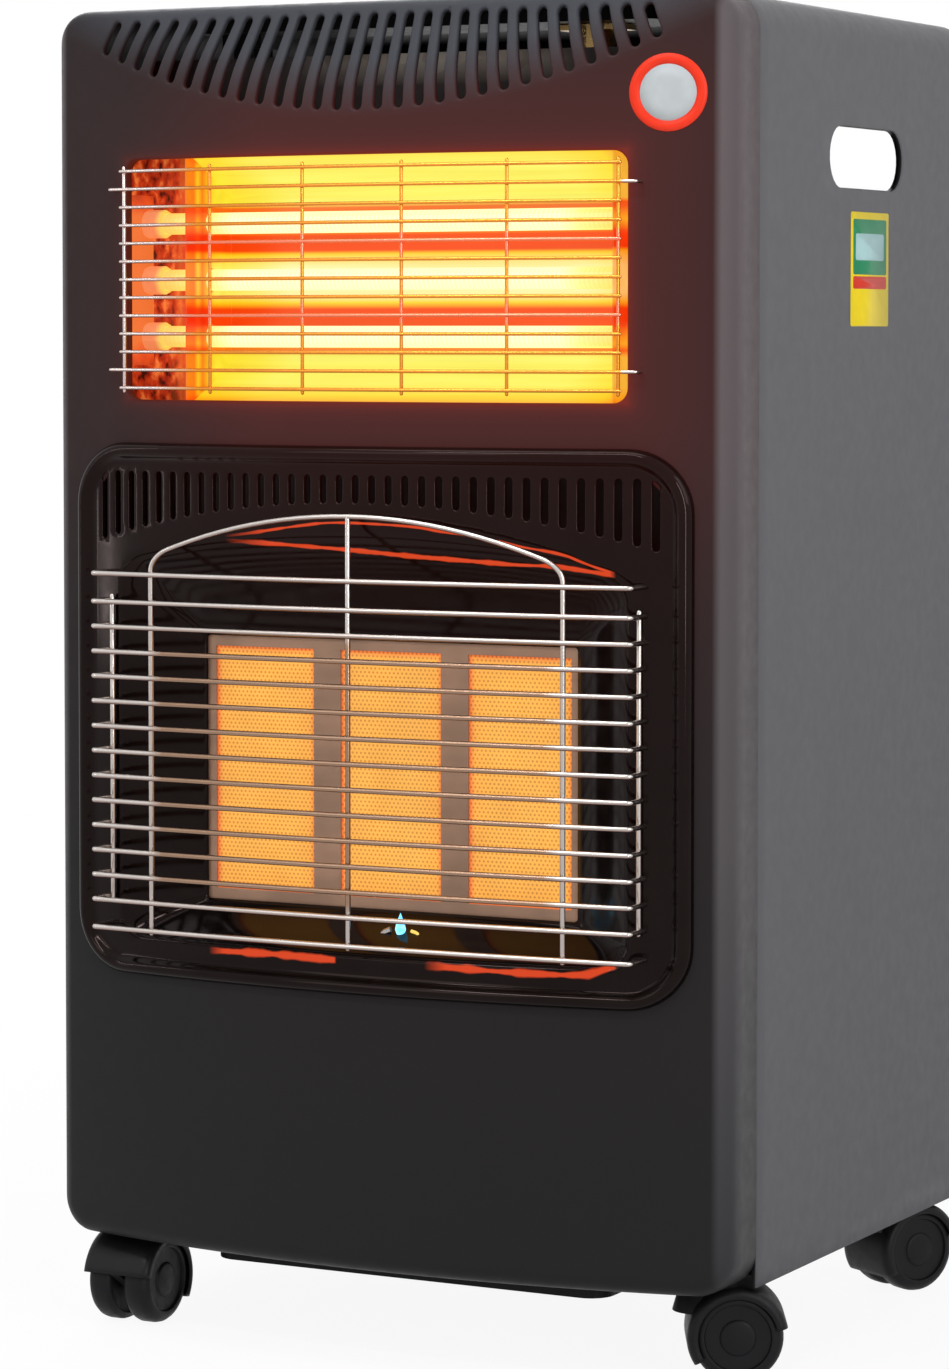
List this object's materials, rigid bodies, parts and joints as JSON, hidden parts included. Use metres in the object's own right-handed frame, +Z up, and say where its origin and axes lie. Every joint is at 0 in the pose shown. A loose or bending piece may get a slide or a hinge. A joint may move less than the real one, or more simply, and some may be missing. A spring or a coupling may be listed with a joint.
{
  "type": "portable gas cabinet heater",
  "caption": "Free-standing cabinet heater on castors: ceramic-plaque gas burner and quartz tubes behind wire guards, louvred bowed front, open-backed gas bottle space.",
  "frame": {"origin": "on the floor, under the middle of the whole heater", "axes": "+Z up, +X to the right seen from the front, the front faces -Y"},
  "size_m": [0.445, 0.3904, 0.7565],
  "materials": {
    "charcoal_paint": "fine satin powder coat",
    "grey_paint": "fine satin powder coat",
    "black_paint": "matt black paint",
    "black_enamel": "glossy vitreous enamel",
    "galvanised_sheet": "dull galvanised sheet",
    "heat_tinted_steel": "steel browned by heat",
    "aluminised_steel": "aluminised sheet",
    "plaque_ceramic": "perforated ceramic, glowing",
    "brass": "turned brass",
    "steel": "zinc-plated steel",
    "white_ceramic": "unglazed ceramic",
    "chrome_wire": "chrome-plated wire",
    "polished_reflector": "polished sheet",
    "quartz": "clear quartz, glowing",
    "aluminium_pipe": "drawn tube",
    "black_plastic": "fine moulded grain",
    "red_plastic": "smooth moulding",
    "tyre_plastic": "hard moulded plastic"
  },
  "bodies": {
    "cabinet": {"front_panel": "charcoal_paint", "body_shell": "grey_paint", "base_tray": "black_paint", "heat_shield": "galvanised_sheet", "burner_surround": "black_enamel", "plaque_frame": "heat_tinted_steel", "ceramic_plaque_left": "plaque_ceramic", "ceramic_plaque_middle": "plaque_ceramic", "ceramic_plaque_right": "plaque_ceramic", "burner_box_left": "aluminised_steel", "burner_box_middle": "aluminised_steel", "burner_box_right": "aluminised_steel", "gas_manifold": "brass", "pilot_burner": "brass", "thermocouple": "steel", "spark_electrode": "white_ceramic", "lower_guard": "chrome_wire", "upper_guard": "chrome_wire", "upper_reflector": "polished_reflector", "quartz_tube_lower": "quartz", "quartz_tube_middle": "quartz", "quartz_tube_upper": "quartz", "tube_cap_lower_left": "white_ceramic", "tube_cap_lower_right": "white_ceramic", "tube_cap_middle_left": "white_ceramic", "tube_cap_middle_right": "white_ceramic", "tube_cap_upper_left": "white_ceramic", "tube_cap_upper_right": "white_ceramic", "tube_bracket_left": "galvanised_sheet", "tube_bracket_right": "galvanised_sheet", "control_console": "black_plastic", "switch_body": "black_plastic", "gas_valve": "brass", "supply_pipe": "aluminium_pipe", "cable_gland": "black_plastic", "castor_front_left_plate": "steel", "castor_front_right_plate": "steel", "castor_rear_left_plate": "steel", "castor_rear_right_plate": "steel"},
    "rear_cover": {"rear_cover": "grey_paint"},
    "spindle": {"valve_spindle": "steel"},
    "knob": {"gas_knob": "black_plastic"},
    "rocker_red": {"rocker_switch_red": "red_plastic"},
    "rocker_black": {"rocker_switch_black": "black_plastic"},
    "castor_front_left": {"castor_front_left_hood": "black_plastic", "castor_front_left_axle": "steel"},
    "castor_front_left_wheel_a": {"castor_front_left_wheel_a": "tyre_plastic"},
    "castor_front_left_wheel_b": {"castor_front_left_wheel_b": "tyre_plastic"},
    "castor_front_right": {"castor_front_right_hood": "black_plastic", "castor_front_right_axle": "steel"},
    "castor_front_right_wheel_a": {"castor_front_right_wheel_a": "tyre_plastic"},
    "castor_front_right_wheel_b": {"castor_front_right_wheel_b": "tyre_plastic"},
    "castor_rear_left": {"castor_rear_left_hood": "black_plastic", "castor_rear_left_axle": "steel"},
    "castor_rear_left_wheel_a": {"castor_rear_left_wheel_a": "tyre_plastic"},
    "castor_rear_left_wheel_b": {"castor_rear_left_wheel_b": "tyre_plastic"},
    "castor_rear_right": {"castor_rear_right_hood": "black_plastic", "castor_rear_right_axle": "steel"},
    "castor_rear_right_wheel_a": {"castor_rear_right_wheel_a": "tyre_plastic"},
    "castor_rear_right_wheel_b": {"castor_rear_right_wheel_b": "tyre_plastic"}
  },
  "joints": [
    {"name": "cover_lift", "type": "slide", "parent": "cabinet", "child": "rear_cover", "axis": [0, 0, 1], "range_m": [0, 0.08]},
    {"name": "knob_push", "type": "slide", "parent": "cabinet", "child": "spindle", "axis": [0, 0, -1], "range_m": [0, 0.003], "stiffness_N_per_m": 40, "springref_m": -0.01},
    {"name": "knob_turn", "type": "hinge", "parent": "spindle", "child": "knob", "pos_m": [0.095, -0.07884, 0.744], "axis": [0, 0, 1], "range_deg": [0, 210]},
    {"name": "rocker_red_tilt", "type": "hinge", "parent": "cabinet", "child": "rocker_red", "pos_m": [-0.13, -0.07884, 0.7476], "axis": [1, 0, 0], "range_deg": [-24, 0]},
    {"name": "rocker_black_tilt", "type": "hinge", "parent": "cabinet", "child": "rocker_black", "pos_m": [-0.117, -0.07884, 0.7476], "axis": [1, 0, 0], "range_deg": [-24, 0]},
    {"name": "front_left_swivel", "type": "hinge", "parent": "cabinet", "child": "castor_front_left", "pos_m": [-0.173, -0.10884, 0.045], "axis": [0, 0, 1], "continuous": true},
    {"name": "front_left_wheel_a_spin", "type": "hinge", "parent": "castor_front_left", "child": "castor_front_left_wheel_a", "pos_m": [-0.173, -0.12884, 0.025], "axis": [1, 0, 0], "continuous": true},
    {"name": "front_left_wheel_b_spin", "type": "hinge", "parent": "castor_front_left", "child": "castor_front_left_wheel_b", "pos_m": [-0.173, -0.12884, 0.025], "axis": [1, 0, 0], "continuous": true},
    {"name": "front_right_swivel", "type": "hinge", "parent": "cabinet", "child": "castor_front_right", "pos_m": [0.173, -0.10884, 0.045], "axis": [0, 0, 1], "continuous": true},
    {"name": "front_right_wheel_a_spin", "type": "hinge", "parent": "castor_front_right", "child": "castor_front_right_wheel_a", "pos_m": [0.19082, -0.09976, 0.025], "axis": [-0.454, 0.891, 0], "continuous": true},
    {"name": "front_right_wheel_b_spin", "type": "hinge", "parent": "castor_front_right", "child": "castor_front_right_wheel_b", "pos_m": [0.19082, -0.09976, 0.025], "axis": [-0.454, 0.891, 0], "continuous": true},
    {"name": "rear_left_swivel", "type": "hinge", "parent": "cabinet", "child": "castor_rear_left", "pos_m": [-0.173, 0.14116, 0.045], "axis": [0, 0, 1], "continuous": true},
    {"name": "rear_left_wheel_a_spin", "type": "hinge", "parent": "castor_rear_left", "child": "castor_rear_left_wheel_a", "pos_m": [-0.19082, 0.15024, 0.025], "axis": [-0.454, -0.891, 0], "continuous": true},
    {"name": "rear_left_wheel_b_spin", "type": "hinge", "parent": "castor_rear_left", "child": "castor_rear_left_wheel_b", "pos_m": [-0.19082, 0.15024, 0.025], "axis": [-0.454, -0.891, 0], "continuous": true},
    {"name": "rear_right_swivel", "type": "hinge", "parent": "cabinet", "child": "castor_rear_right", "pos_m": [0.173, 0.14116, 0.045], "axis": [0, 0, 1], "continuous": true},
    {"name": "rear_right_wheel_a_spin", "type": "hinge", "parent": "castor_rear_right", "child": "castor_rear_right_wheel_a", "pos_m": [0.183, 0.15848, 0.025], "axis": [-0.866, 0.5, 0], "continuous": true},
    {"name": "rear_right_wheel_b_spin", "type": "hinge", "parent": "castor_rear_right", "child": "castor_rear_right_wheel_b", "pos_m": [0.183, 0.15848, 0.025], "axis": [-0.866, 0.5, 0], "continuous": true}
  ]
}
